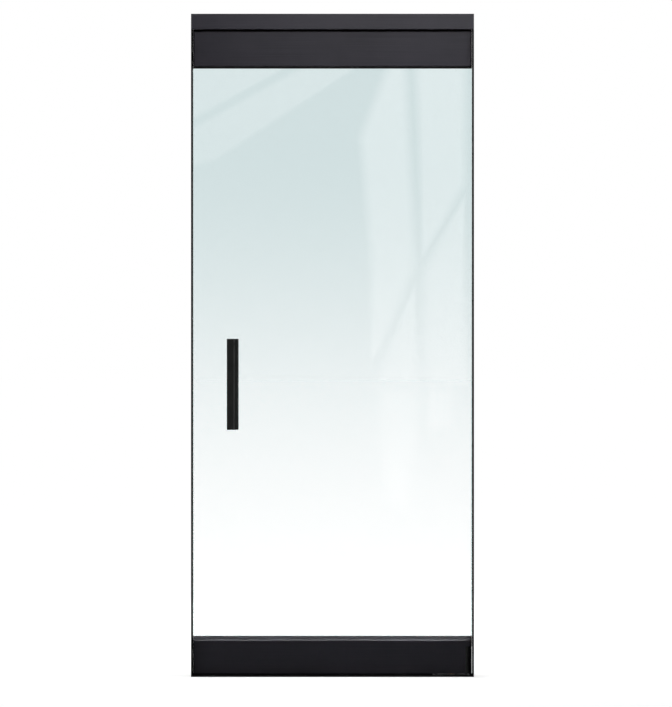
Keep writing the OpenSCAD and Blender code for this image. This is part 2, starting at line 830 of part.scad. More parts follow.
// Top gasket: a wedge strip behind the pocket's hook, with a bead that shows under the rail
module top_gasket() {
    bead_out = glass_half + bead_w;
    color(rubber_black) translate([0, 0, top_rail_z]) run_x(-leaf_half, leaf_half) polygon([
        [glass_half, -bead_h], [top_mouth, -bead_h], [bead_out, -bead_h / 2], [bead_out, 0],
        [top_mouth, 0], [top_mouth, hook_h], [glass_half, hook_h + top_gasket_t / 2]
    ]);
}

module top_gasket_front() {
    mirror([0, 1, 0]) top_gasket();
}

module top_gasket_back() {
    top_gasket();
}

// Bottom gasket: a wedge strip that ends level with the rail's shoulder
module bottom_gasket() {
    color(rubber_black) translate([0, 0, bottom_rail_z]) run_x(-leaf_half, leaf_half) polygon([
        [glass_half, hook_foot - bottom_gasket_t], [bottom_mouth, hook_foot],
        [bottom_mouth, bottom_rail_h], [glass_half, bottom_rail_h + bottom_gasket_t / 2]
    ]);
}

module bottom_gasket_front() {
    mirror([0, 1, 0]) bottom_gasket();
}

module bottom_gasket_back() {
    bottom_gasket();
}

module pads(z) {
    color(rubber_black) for (share = pad_shares)
        translate([share * rail_end - pad_len / 2, -glass_half, z]) cube([pad_len, glass_t, pad_t]);
}

module glass_setting_blocks() {
    pads(glass_z - pad_t);
}

module glass_top_pads() {
    pads(glass_top);
}

// Wedges on both faces of the glass, thick end against the web
module wedges() {
    color(nylon) for (share = wedge_shares) both_y()
        run_x(share * rail_end - wedge_len / 2, share * rail_end + wedge_len / 2) polygon([
            [glass_half, seat], [cell_half - seat, seat],
            [cell_half - seat - wedge_taper, wedge_h], [glass_half, wedge_h]
        ]);
}

module top_clamp_wedges() {
    translate([0, 0, top_rail_z + top_web[0]]) mirror([0, 0, 1]) wedges();
}

module bottom_clamp_wedges() {
    translate([0, 0, bottom_rail_z + bottom_web[1]]) wedges();
}

// Plan of an end cap on the pivot side: flat inside, with quarter-round outer corners
module cap_plan() {
    intersection() {
        translate([rail_end, -rail_half]) square([cap_t, rail_t]);
        union() {
            translate([rail_end, cap_t - rail_half]) square([cap_t, rail_t - 2 * cap_t]);
            for (s = [-1, 1]) translate([rail_end, s * (rail_half - cap_t)]) circle(cap_t);
        }
    }
}

module top_rail_cap(side) {
    color(rail_black) mirror([side < 0 ? 1 : 0, 0, 0]) translate([0, 0, top_rail_z]) difference() {
        intersection() {
            run_x(rail_end, leaf_half) soft_rect(rail_t, top_rail_h, rail_edge_r);
            run_z(0, top_rail_h) cap_plan();
        }
        translate([rail_end - overrun, -top_mouth, -overrun])
            cube([cap_t + 2 * overrun, 2 * top_mouth, top_web[0] + overrun]);
        for (z = top_ports) translate([leaf_half, 0, z]) rotate([0, 90, 0])
            countersunk_hole(cap_screw_d, cap_screw_head_d, cap_t + overrun, screw_fit);
    }
}

module top_rail_lead_cap() {
    top_rail_cap(-1);
}

module top_rail_heel_cap() {
    top_rail_cap(1);
}

// Slot for the glass and its gaskets in the bottom rail's end pieces
module bottom_glass_slot() {
    translate([rail_end - overrun, -bottom_mouth, bottom_web[1]])
        cube([cap_t + 2 * overrun, 2 * bottom_mouth, pocket_depth + overrun]);
}

module bottom_rail_lead_cap() {
    color(rail_black) mirror([1, 0, 0]) translate([0, 0, bottom_rail_z]) difference() {
        intersection() {
            run_x(rail_end, leaf_half) bottom_rail_outline();
            run_z(0, bottom_rail_h) cap_plan();
        }
        bottom_glass_slot();
        for (z = bottom_ports) translate([leaf_half, 0, z]) rotate([0, 90, 0])
            countersunk_hole(cap_screw_d, cap_screw_head_d, cap_t + overrun, screw_fit);
    }
}

// Heel: a cast nose as round as the rail is thick, with the end plate of the glass pocket on top
module bottom_rail_heel() {
    color(jet_black) translate([0, 0, bottom_rail_z]) difference() {
        union() {
            run_z(0, bottom_web[0]) intersection() {
                translate([heel_x, 0]) circle(rail_half);
                translate([heel_x, -rail_half]) square([rail_half, rail_t]);
            }
            intersection() {
                run_x(rail_end, leaf_half) bottom_rail_outline();
                run_z(bottom_web[0], bottom_rail_h) cap_plan();
            }
        }
        bottom_glass_slot();
        for (z = bottom_ports) translate([leaf_half, 0, z]) rotate([0, 90, 0]) {
            translate([0, 0, -heel_bore_depth])
                cylinder(d = cap_screw_head_d + 2 * seat, h = heel_bore_depth + overrun);
            translate([0, 0, -rail_half - overrun])
                cylinder(d = cap_screw_d + 2 * screw_fit, h = rail_half + overrun);
        }
    }
}

module cap_screws() {
    length = cap_t + cap_screw_in;
    color(steel) {
        both_x() for (z = top_ports) translate([leaf_half, 0, top_rail_z + z]) rotate([0, 90, 0])
            countersunk_screw(cap_screw_d, cap_screw_head_d, length);
        for (z = bottom_ports) translate([-leaf_half, 0, bottom_rail_z + z]) rotate([0, -90, 0])
            countersunk_screw(cap_screw_d, cap_screw_head_d, length);
    }
}

module heel_screws() {
    length = rail_half - heel_bore_depth + cap_screw_in;
    color(steel) for (z = bottom_ports)
        translate([leaf_half - heel_bore_depth, 0, bottom_rail_z + z]) rotate([0, 90, 0]) difference() {
            union() {
                translate([0, 0, -length]) cylinder(d = cap_screw_d, h = length);
                cylinder(d = cap_screw_head_d, h = cap_screw_d);
            }
            translate([0, 0, cap_screw_d * (1 - socket_depth_share)])
                cylinder(d = cap_screw_d * socket_share, h = cap_screw_d, $fn = 6);
        }
}

// Strip that closes a channel, drawn with the rail's edge at zero and its snap legs pointing down
module filler_section() {
    leg_x = hardware_half - filler_leg_t / 2;
    leg_h = filler_t + ledge_t + filler_leg_h;
    translate([seat - cell_half, -filler_t]) square([2 * (cell_half - seat), filler_t]);
    for (s = [-1, 1]) translate([s * leg_x - filler_leg_t / 2, -leg_h]) square([filler_leg_t, leg_h]);
}

module top_rail_filler() {
    color(rail_black) difference() {
        translate([0, 0, top_rail_z + top_rail_h]) run_x(-rail_end, rail_end) filler_section();
        translate([pivot_x, 0, arm_top])
            cylinder(d = spindle_d + 2 * spindle_room, h = top_rail_z + top_rail_h - arm_top + overrun);
    }
}

filler_end = pivot_x - block_back - seat;

// The bottom filler has a seat for the brush strip along its middle
module bottom_rail_filler() {
    seat_half = sweep_w / 2 + filler_leg_t;
    color(rail_black) translate([0, 0, bottom_rail_z]) run_x(-rail_end, filler_end) difference() {
        union() {
            mirror([0, 1]) filler_section();
            translate([-seat_half, 0]) square([2 * seat_half, sweep_seat_h + filler_leg_t]);
        }
        translate([-sweep_w / 2, -overrun]) square([sweep_w, sweep_seat_h + overrun]);
    }
}

module bottom_sweep() {
    brush_half = sweep_w / 2 - seat;
    drop = foot_gap - sweep_gap;
    color(rubber_black) translate([0, 0, bottom_rail_z]) run_x(-rail_end, filler_end)
        polygon(whole([[brush_half, sweep_seat_h], [brush_half, 0], [brush_half / 2, -drop]]));
}

// Spindle: round in the closer, square in the arm
module closer_spindle() {
    square_z = arm_top - socket_depth + seat;
    round_z = arm_top + seat;
    color(jet_black) translate([pivot_x, 0, 0]) {
        translate([-spindle_square / 2, -spindle_square / 2, square_z])
            cube([spindle_square, spindle_square, round_z - square_z + overrun]);
        translate([0, 0, round_z]) cylinder(d = spindle_d, h = closer_z + spindle_in - round_z);
    }
}

module closer_arm() {
    socket = spindle_square + 2 * screw_fit;
    color(jet_black) difference() {
        run_z(arm_z, arm_top) {
            translate([pivot_x, 0]) circle(hardware_half);
            translate([pivot_x - arm_len, -arm_w / 2]) square([arm_len, arm_w]);
        }
        translate([pivot_x - socket / 2, -socket / 2, arm_top - socket_depth])
            cube([socket, socket, socket_depth + overrun]);
        for (x = arm_screw_places) translate([x, 0, arm_top - bolt_head_h])
            socket_hole(arm_h, bolt_head_h + overrun);
    }
}

module closer_arm_screws() {
    length = arm_h - bolt_head_h + shelf_t + bolt_past;
    color(steel) for (x = arm_screw_places) translate([x, 0, arm_top - bolt_head_h]) socket_screw(length);
}

bush_d = pin_d + 2 * bush_t;

module bottom_pivot_block() {
    length = block_back + block_front;
    color(steel) difference() {
        translate([pivot_x + (block_front - block_back) / 2, 0])
            run_z(bottom_rail_z, bottom_rail_z + channel_depth)
                soft_plan(length, 2 * hardware_half, plate_r);
        translate([pivot_x, 0, bottom_rail_z - overrun])
            cylinder(d = bush_d + 2 * screw_fit, h = pin_in + overrun + seat);
        for (x = block_screw_places) translate([x, 0, bottom_rail_z + bolt_head_h]) rotate([180, 0, 0])
            socket_hole(channel_depth, bolt_head_h + overrun);
    }
}

// Bush: its flange carries the leaf on the pin's collar
module pivot_bush() {
    inner = pin_d / 2 + run_fit;
    color(bronze) translate([pivot_x, 0, bottom_rail_z]) rotate_extrude() polygon([
        [inner, -flange_t], [collar_d / 2, -flange_t], [collar_d / 2, 0], [bush_d / 2, 0],
        [bush_d / 2, pin_in], [inner, pin_in]
    ]);
}

module pivot_block_screws() {
    length = channel_depth - bolt_head_h + shelf_t + bolt_past;
    color(steel) for (x = block_screw_places) translate([x, 0, bottom_rail_z + bolt_head_h])
        rotate([180, 0, 0]) socket_screw(length);
}

// Section of the handle's bar, as seen from above, with a bevel on the grip side of its front
module pull_section() {
    side = pull_w / 2;
    soft_polygon([
        [-side, -bar_front], [side - pull_bevel_w, -bar_front], [side, pull_bevel_d - bar_front],
        [side, -bar_back], [-side, -bar_back]
    ], pull_edge_r);
}

module pull_bar() {
    bottom = pull_height - pull_len / 2;
    color(jet_black) translate([pull_x, 0, 0]) difference() {
        run_z(bottom, bottom + pull_len) pull_section();
        for (z = pull_levels) {
            translate([0, overrun - bar_back, z]) rotate([90, 0, 0])
                cylinder(d = post_d + 2 * screw_fit, h = post_seat + overrun);
            translate([0, -bar_back - post_seat / 2, z]) rotate([0, 90, 0])
                cylinder(d = grub_d + 2 * screw_fit, h = pull_w);
        }
    }
}

module front_pull_bar() {
    pull_bar();
}

module back_pull_bar() {
    mirror([0, 1, 0]) pull_bar();
}

// Posts: turned, tapped for the stud, their ends let into the bar
module pull_posts() {
    color(jet_black) for (z = pull_levels) translate([pull_x, -glass_half - washer_t, z]) rotate([90, 0, 0])
        difference() {
            cylinder(d = post_d, h = pull_standoff - washer_t + post_seat - seat);
            translate([0, 0, -overrun]) cylinder(d = stud_d + 2 * screw_fit, h = stud_in + 2 * overrun);
        }
}

module front_pull_posts() {
    pull_posts();
}

module back_pull_posts() {
    mirror([0, 1, 0]) pull_posts();
}

module pull_studs() {
    length = glass_t + 2 * (washer_t + stud_in);
    color(steel) for (z = pull_levels) translate([pull_x, 0, z]) rotate([90, 0, 0])
        cylinder(d = stud_d, h = length, center = true);
}

// A ring round the stud, across the leaf
module stud_ring(d, y0, y1) {
    for (z = pull_levels) translate([pull_x, y1, z]) rotate([90, 0, 0]) difference() {
        cylinder(d = d, h = y1 - y0);
        translate([0, 0, -overrun]) cylinder(d = stud_d + 2 * screw_fit, h = y1 - y0 + 2 * overrun);
    }
}

module pull_bushes() {
    color(nylon) stud_ring(glass_hole_d - 2 * screw_fit, -glass_half, glass_half);
}

module pull_washers() {
    color(nylon) both_y() stud_ring(washer_d, glass_half, glass_half + washer_t);
}

module pull_grub_screws() {
    length = pull_w / 2 - post_d / 2 - seat - pull_edge_r;
    color(steel) both_y() for (z = pull_levels)
        translate([pull_x + post_d / 2 + seat, -bar_back - post_seat / 2, z])
            rotate([0, 90, 0]) difference() {
                cylinder(d = grub_d, h = length);
                translate([0, 0, length - grub_d * socket_depth_share])
                    cylinder(d = grub_d * socket_share, h = grub_d, $fn = 6);
            }
}

header();
header_cover();
header_pile();
header_bracket_left();
header_bracket_right();
header_bracket_screws();
jamb_left();
jamb_right();
jamb_cover_strip();
jamb_screws();
jamb_pile_left();
jamb_pile_right();
threshold();
floor_pivot_plate();
floor_pivot_pin();
closer_body();
closer_screws();
closer_valves();
glass_panel();
top_rail();
bottom_rail();
top_gasket_front();
top_gasket_back();
bottom_gasket_front();
bottom_gasket_back();
glass_setting_blocks();
glass_top_pads();
top_clamp_wedges();
bottom_clamp_wedges();
top_rail_lead_cap();
top_rail_heel_cap();
bottom_rail_lead_cap();
bottom_rail_heel();
cap_screws();
heel_screws();
top_rail_filler();
bottom_rail_filler();
bottom_sweep();
closer_spindle();
closer_arm();
closer_arm_screws();
bottom_pivot_block();
pivot_bush();
pivot_block_screws();
front_pull_bar();
back_pull_bar();
front_pull_posts();
back_pull_posts();
pull_studs();
pull_bushes();
pull_washers();
pull_grub_screws();
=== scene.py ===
import math
import random

import bpy
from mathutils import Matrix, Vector


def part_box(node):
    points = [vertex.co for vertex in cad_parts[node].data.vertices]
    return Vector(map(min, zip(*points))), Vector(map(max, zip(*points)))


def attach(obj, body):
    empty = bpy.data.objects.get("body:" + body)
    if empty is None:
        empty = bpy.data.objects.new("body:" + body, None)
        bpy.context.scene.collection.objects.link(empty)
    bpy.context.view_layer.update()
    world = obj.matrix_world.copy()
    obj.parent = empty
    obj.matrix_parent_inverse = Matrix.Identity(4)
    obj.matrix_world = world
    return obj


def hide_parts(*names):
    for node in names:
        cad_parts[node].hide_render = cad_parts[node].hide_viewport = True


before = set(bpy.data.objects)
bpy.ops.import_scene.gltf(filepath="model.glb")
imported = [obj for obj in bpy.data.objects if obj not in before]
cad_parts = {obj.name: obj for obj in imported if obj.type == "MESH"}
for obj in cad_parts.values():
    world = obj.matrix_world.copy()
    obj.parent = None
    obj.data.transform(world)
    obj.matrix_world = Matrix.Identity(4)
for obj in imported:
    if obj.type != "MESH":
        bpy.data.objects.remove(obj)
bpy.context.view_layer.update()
scene = bpy.context.scene
scene.view_settings.view_transform = "Standard"


# Camera: square on to the door from fourteen metres, through a long lens, so that the uprights stay parallel.
# The picture is 672 by 707, and the lens's 36 mm lie along its longer side.
CAMERA = Vector((0.0113, -14.0, 1.0446))
VIEW_HEIGHT = 2.2834
FRONT_Y = -0.057

lens = bpy.data.cameras.new("camera")
lens.sensor_width = 36.0
lens.lens = lens.sensor_width * (FRONT_Y - CAMERA.y) / VIEW_HEIGHT
lens.clip_start, lens.clip_end = 0.1, 200.0
camera = bpy.data.objects.new("camera", lens)
camera.location = CAMERA
camera.rotation_euler = (math.radians(90), 0, 0)
scene.collection.objects.link(camera)
scene.camera = camera


# Studio: a white room with a dim wall behind the camera, and a pale floor that shows white and keeps the
# door's shadow. What the camera sees past the door, or through its glass, is plain white.
class Wire:
    """An output in a shader tree. Arithmetic on it adds Math nodes, and node() adds any other node."""

    def __init__(self, tree, socket=None):
        self.tree, self.socket = tree, socket

    def feed(self, node, sockets):
        """Links a wire to a socket of the node, or sets a plain value there."""
        for name, value in sockets.items():
            if isinstance(value, Wire):
                self.tree.links.new(value.socket, node.inputs[name])
            else:
                node.inputs[name].default_value = value

    def node(self, kind, settings=None, sockets=None, out=0):
        made = self.tree.nodes.new("ShaderNode" + kind)
        for name, value in (settings or {}).items():
            setattr(made, name, value)
        self.feed(made, sockets or {})
        return Wire(self.tree, made.outputs[out])

    def maths(self, operation, *values):
        return self.node("Math", {"operation": operation}, dict(enumerate(values)))

    def __add__(self, other):
        return self.maths("ADD", self, other)

    def __radd__(self, other):
        return self.maths("ADD", other, self)

    def __sub__(self, other):
        return self.maths("SUBTRACT", self, other)

    def __rsub__(self, other):
        return self.maths("SUBTRACT", other, self)

    def __mul__(self, other):
        return self.maths("MULTIPLY", self, other)

    def __rmul__(self, other):
        return self.maths("MULTIPLY", other, self)

    def __gt__(self, other):
        return self.maths("GREATER_THAN", self, other)

    def __abs__(self):
        return self.maths("ABSOLUTE", self)

    def between(self, low, high):
        """Zero at low, one at high, with a soft start and end."""
        return self.node("MapRange", {"interpolation_type": "SMOOTHSTEP"},
                         {"Value": self, "From Min": low, "From Max": high})

    def patches(self):
        """Noise drawn apart into soft patches of zero and one."""
        return self.between(0.3, 0.7)

    def mix(self, first, second):
        """A colour that runs from the first to the second as this goes from 0 to 1."""
        return self.node("Mix", {"data_type": "RGBA"}, {0: self, 6: first, 7: second}, out=2)

    def axis(self, name):
        return self.node("SeparateXYZ", sockets={0: self}, out=name)

    def scaled(self, x, y, z):
        return self.node("VectorMath", {"operation": "MULTIPLY"}, {0: self, 1: (x, y, z)})

    def noise(self, scale=1.0, detail=2.0, roughness=0.5):
        return self.node("TexNoise", sockets={"Vector": self, "Scale": scale, "Detail": detail,
                                              "Roughness": roughness})

    def bump(self, strength, depth):
        """A normal that follows this as a height."""
        return self.node("Bump", sockets={"Strength": strength, "Distance": depth, "Height": self})

    def place(self):
        """Where a point lies on its piece, in metres of the shared frame at rest."""
        return self.node("TexCoord", out="Object")

    def rays(self, *names):
        """Outputs of one Light Path node."""
        path = self.node("LightPath").socket.node
        return [Wire(self.tree, path.outputs[name]) for name in names]


def grey(tone):
    return (tone, tone, tone, 1)


BACKGROUND_RAYS = ("Is Camera Ray", "Is Transmission Ray", "Is Glossy Ray")
ROOM_DIFFUSE = 0.15
DIM_WALL = 0.12
WALL_TILT = 0.9
WALL_EDGE = (-0.25, 0.35)

world = bpy.data.worlds.new("studio")
world.use_nodes = True
scene.world = world
room = Wire(world.node_tree)
seen, seen_through, in_sheen = room.rays(*BACKGROUND_RAYS)
toward = room.node("TexCoord", out="Generated")
white_side = (toward.axis("Y") + toward.axis("Z") * WALL_TILT).between(*WALL_EDGE)
in_metal = DIM_WALL + white_side * (1 - DIM_WALL)
plainly = room.maths("MAXIMUM", seen, seen_through)
polished = in_sheen * (1 - plainly)
level = plainly + polished * in_metal + (1 - plainly - polished) * ROOM_DIFFUSE
room.feed(world.node_tree.nodes["Background"], {"Color": level.mix(grey(0), grey(1))})

FLOOR_HALF = 150.0
FLOOR_Z = -0.0005
FLOOR_TONES = (0.78, 0.82)
GLOW_NEAR, GLOW_FAR = 0.65, 0.882
GLOW_REACH = (1.2, 4.5)
SHEEN_REACH = (-1.8, -0.4)

floor_mesh = bpy.data.meshes.new("floor")
floor_corners = [(-FLOOR_HALF, -FLOOR_HALF, 0), (FLOOR_HALF, -FLOOR_HALF, 0),
                 (FLOOR_HALF, FLOOR_HALF, 0), (-FLOOR_HALF, FLOOR_HALF, 0)]
floor_mesh.from_pydata(floor_corners, [], [(0, 1, 2, 3)])
floor = bpy.data.objects.new("floor", floor_mesh)
floor.location.z = FLOOR_Z
scene.collection.objects.link(floor)
floor_paint = bpy.data.materials.new("pale_floor")
floor_paint.use_nodes = True
floor_tree = floor_paint.node_tree
floor_tree.nodes.remove(floor_tree.nodes["Principled BSDF"])
ground = Wire(floor_tree)
seen, seen_through, in_sheen = ground.rays(*BACKGROUND_RAYS)
spot = ground.place()
fleck = spot.noise(scale=9.0, detail=4.0).patches()
matt = ground.node("BsdfDiffuse", sockets={"Color": fleck.mix(*map(grey, FLOOR_TONES))})
away = ground.node("VectorMath", {"operation": "LENGTH"}, {0: spot}, out="Value").between(*GLOW_REACH)
plainly = ground.maths("MAXIMUM", seen, seen_through)
shows = plainly + in_sheen * (1 - plainly) * spot.axis("Y").between(*SHEEN_REACH)
glow = shows * (GLOW_NEAR + away * (GLOW_FAR - GLOW_NEAR))
lit = ground.node("Emission", sockets={"Color": glow.mix(grey(0), grey(1))})
lit_matt = ground.node("AddShader", sockets={0: matt, 1: lit})
ground.feed(floor_tree.nodes["Material Output"], {"Surface": lit_matt})
floor_mesh.materials.append(floor_paint)


def softbox(name, place, target, size, power, spread=180.0, lights=True):
    """A soft lamp, which shows only in the sheen of metal. Without lights it is a mere card for that."""
    lamp = bpy.data.lights.new(name, "AREA")
    lamp.shape = "RECTANGLE"
    lamp.size, lamp.size_y = size
    lamp.energy = power
    lamp.spread = math.radians(spread)
    lamp.use_nodes = True
    wire = Wire(lamp.node_tree)
    in_glass = wire.node("LightPath", out="Is Singular Ray")
    wire.feed(lamp.node_tree.nodes["Emission"], {"Color": in_glass.mix(grey(1), grey(0))})
    box = bpy.data.objects.new(name, lamp)
    box.location = place
    box.rotation_euler = (Vector(target) - Vector(place)).to_track_quat("-Z", "Y").to_euler()
    box.visible_camera = box.visible_transmission = False
    box.visible_diffuse = lights
    scene.collection.objects.link(box)


softbox("key_softbox", (0.50, -1.6, 2.36), target=(0.27, 0, 2.05), size=(1.8, 0.4), power=7.8, spread=100.0)
softbox("top_softbox", (0.2, -0.4, 4.2), target=(0, 0, 0), size=(2.4, 1.6), power=36.0)
softbox("shoulder_softbox", (1.2, -2.45, 3.7), target=(0.55, 0, 0.12), size=(3.0, 0.4), power=32.0,
        spread=18.0, lights=False)
softbox("fill_softbox", (-2.8, -3.4, 1.6), target=(0, 0, 1.0), size=(1.6, 2.2), power=7.0)
softbox("back_softbox", (-0.8, 3.4, 2.6), target=(0, 0, 1.1), size=(2.0, 1.6), power=60.0)


# Reflections: sunlit ground, the panes of a window and eaves, which lie in front of the door and show only in
# the polish of the glass. Each is a glowing card before the door, its outline given where it shows on the
# glass, in metres.
MIRROR_Y = -0.95
GLASS_FACE_Y = -0.006
LAYER_STEP = 0.004
MITRE_LIMIT = 0.3
APRON_Z = -0.0002
AT_DOOR = 0.08


def mirrored(x, z):
    """Where a point on the glass finds its reflection, as seen by the camera."""
    stretch = (GLASS_FACE_Y - MIRROR_Y) / (GLASS_FACE_Y - CAMERA.y)
    return Vector((x + (x - CAMERA.x) * stretch, MIRROR_Y, z + (z - CAMERA.z) * stretch))


def offset(outline, depth):
    """The outline with each side moved inwards by a depth, or outwards by a negative one."""
    corners = [Vector(corner) for corner in outline]
    area = sum(a.x * b.y - a.y * b.x for a, b in zip(corners, corners[1:] + corners[:1]))
    moved = []
    for before, corner, after in zip(corners[-1:] + corners[:-1], corners, corners[1:] + corners[:1]):
        sides = [(corner - before).normalized(), (after - corner).normalized()]
        first, second = (Vector((-side.y, side.x)) * math.copysign(1, area) for side in sides)
        moved.append(corner + (first + second) * depth / max(1 + first.dot(second), MITRE_LIMIT))
    return moved


def toned(colour, share):
    return tuple(part * share for part in colour) + (1,)


def card_paint(name, colour, heights, strengths):
    """Light that only a sharp reflection shows. Its strength runs between two heights on the glass."""
    paint = bpy.data.materials.new(name)
    paint.use_nodes = True
    tree = paint.node_tree
    tree.nodes.remove(tree.nodes["Principled BSDF"])
    wire = Wire(tree)
    singular, bounces = wire.rays("Is Singular Ray", "Glossy Depth")
    share = wire.node("Attribute", {"attribute_name": "glow"}, out="Fac")
    rise = wire.place().axis("Z").between(*(mirrored(0, height).z for height in heights))
    low, high = (toned(colour, strength) for strength in strengths)
    light = wire.node("Emission", sockets={"Color": rise.mix(low, high)})
    clear = wire.node("BsdfTransparent")
    added = wire.node("AddShader", sockets={0: clear, 1: light})
    shown = wire.node("MixShader", sockets={0: singular * (bounces > 0.5) * share, 1: clear, 2: added})
    wire.feed(tree.nodes["Material Output"], {"Surface": shown})
    return paint


def reflection(name, outlines, blur, colour, heights, strengths, nearest, apron=False):
    """Cards with blurred sides, each on a layer of its own from the nearest on. An apron carries a card on
    along the floor, from its foot to the door, where it is faint."""
    points, faces, glow = [], [], []
    for layer, outline in enumerate(outlines, nearest):
        first, count = len(points), len(outline)
        behind = Vector((0, LAYER_STEP * layer, 0))
        for depth, strength in ((-blur / 2, 0.0), (blur / 2, 1.0)):
            points += [mirrored(*corner) + behind for corner in offset(outline, depth)]
            glow += [strength] * count
        faces.append(tuple(first + count + k for k in range(count)))
        faces += [(first + k, first + (k + 1) % count, first + count + (k + 1) % count, first + count + k)
                  for k in range(count)]
    if apron:
        edges = sorted(point.x for point in points if point.z < 0)
        first, count = len(points), len(edges)
        points += [Vector((x, y, APRON_Z)) for y in (MIRROR_Y, FRONT_Y) for x in edges]
        glow += [0.0, 1.0, 1.0, 0.0] + [0.0, AT_DOOR, AT_DOOR, 0.0]
        faces += [(first + k, first + k + 1, first + count + k + 1, first + count + k)
                  for k in range(count - 1)]
    mesh = bpy.data.meshes.new(name)
    mesh.from_pydata(points, [], faces)
    mesh.attributes.new("glow", "FLOAT", "POINT").data.foreach_set("value", glow)
    mesh.materials.append(card_paint(name, colour, heights, strengths))
    card = bpy.data.objects.new(name, mesh)
    scene.collection.objects.link(card)
    card.visible_camera = card.visible_diffuse = card.visible_shadow = False
    card.visible_volume_scatter = False


SUNLIT = (1.0, 0.70, 0.67)
reflection("sunlit_ground", [
    [(-1.05, -0.8), (1.05, -0.8), (1.05, 2.9), (-1.05, 2.9)],
], blur=0.9, colour=SUNLIT, heights=(0.20, 1.76), strengths=(5.8, 0.0), nearest=0, apron=True)
DAYLIGHT = (1.0, 0.80, 0.78)
reflection("window_panes", [
    [(0.190, 2.0), (0.235, 2.0), (0.266, 1.325), (0.124, 1.010), (0.124, 1.372), (0.092, 1.750)],
    [(0.271, 2.0), (0.428, 2.0), (0.428, 1.600), (0.292, 1.362)],
    [(0.428, 1.550), (0.428, 0.950), (0.304, 0.950), (0.296, 1.308)],
    [(0.268, 1.268), (0.281, 0.950), (0.147, 0.950)],
    [(0.153, 0.930), (0.273, 0.930), (0.273, 0.780), (0.235, 0.560), (0.190, 0.560), (0.153, 0.688)],
    [(0.308, 0.930), (0.386, 0.930), (0.386, 0.800), (0.308, 0.800)],
], blur=0.034, colour=DAYLIGHT, heights=(0.6, 1.96), strengths=(0.5, 1.55), nearest=1)
reflection("eaves", [
    [(-0.480, 2.0), (-0.098, 2.0), (-0.480, 1.790)],
    [(-0.046, 2.0), (0.120, 2.0), (-0.380, 1.672), (-0.480, 1.647), (-0.480, 1.758)],
], blur=0.018, colour=DAYLIGHT, heights=(1.6, 1.96), strengths=(0.7, 0.9), nearest=1)


# Frame: the header, the jambs and the threshold are aluminium extrusions, anodised black and screwed to wall
# and floor. Their fine die lines run along each length, hands and trolleys have rubbed the outer edges a
# little brighter, and shoes have scuffed the top of the threshold.
def new_finish(name):
    """A Principled material, with the start of its wires."""
    paint = bpy.data.materials.new(name)
    paint.use_nodes = True
    return paint, Wire(paint.node_tree), paint.node_tree.nodes["Principled BSDF"]


def rubbed_edge(wire, radius):
    """One on the outer edges of a piece and zero on its flats."""
    soft = wire.node("Bevel", {"samples": 6}, {"Radius": radius})
    hard = wire.node("NewGeometry", out="Normal")
    bend = 1 - wire.node("VectorMath", {"operation": "DOT_PRODUCT"}, {0: soft, 1: hard}, out="Value")
    return bend.between(0.02, 0.3)


DIE_LINES_ALONG, DIE_LINES_ACROSS = 3.0, 900.0
LINE_SHARE = 0.6
DYE_DARK, DYE_LIGHT = 0.8, 1.2
GLOSS_PLAY = 0.12


def anodised(name, colour, run, gloss, shine, wear, sealed=0.0, trodden=0.0):
    """Anodised extrusion: die lines along run, a faint cloud in the dye, rubbed edges. Sealed adds a satin
    skin to the faces that look away from the doorway. Trodden is the tone that shoes wear into the top."""
    paint, wire, shader = new_finish(name)
    place = wire.place()
    facing = wire.node("NewGeometry", out="Normal")
    lines = place.scaled(*(DIE_LINES_ALONG if axis == run else DIE_LINES_ACROSS for axis in "XYZ")).noise()
    cloud = place.noise(scale=7.0, detail=3.0)
    mark = lines * LINE_SHARE + cloud * (1 - LINE_SHARE)
    base = mark.between(0.25, 0.75).mix(toned(colour, DYE_DARK), toned(colour, DYE_LIGHT))
    edge = rubbed_edge(wire, radius=0.0012) * place.noise(scale=60.0, detail=3.0).between(0.35, 0.65) * 0.6
    if trodden:
        scuff = place.scaled(2.0, 6.0, 1.0).noise(scale=6.0, detail=4.0, roughness=0.6).between(0.3, 0.65)
        base = ((facing.axis("Z") > 0.5) * scuff).mix(base, grey(trodden))
    if sealed:
        outward = facing.axis("X") * wire.maths("SIGN", place.axis("X"))
        skin = sealed * (0.7 + cloud * 0.6)
        wire.feed(shader, {"Coat Weight": (outward > 0.5) * skin, "Coat Roughness": 0.3})
    wire.feed(shader, {
        "Base Color": edge.mix(base, toned(colour, wear)),
        "Roughness": gloss - GLOSS_PLAY / 2 + lines * GLOSS_PLAY,
        "Specular IOR Level": shine,
        "Normal": lines.bump(strength=0.25, depth=0.00004),
    })
    return paint


def clad(paint, *names):
    """Gives CAD nodes their finish."""
    for name in names:
        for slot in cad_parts[name].material_slots:
            slot.material = paint


header_anodising = anodised("header_anodising", colour=(0.0225, 0.0208, 0.0288), run="X", gloss=0.39,
                            shine=0.115, wear=1.9)
clad(header_anodising, "header", "header_cover")
jamb_anodising = anodised("jamb_anodising", colour=(0.009, 0.0088, 0.010), run="Z", gloss=0.5,
                          shine=0.0, wear=1.9, sealed=0.45)
clad(jamb_anodising, "jamb_left", "jamb_right", "jamb_cover_strip")
threshold_anodising = anodised("threshold_anodising", colour=(0.007, 0.0069, 0.0077), run="X", gloss=0.5,
                               shine=0.0, wear=1.9, trodden=0.02)
clad(threshold_anodising, "threshold")


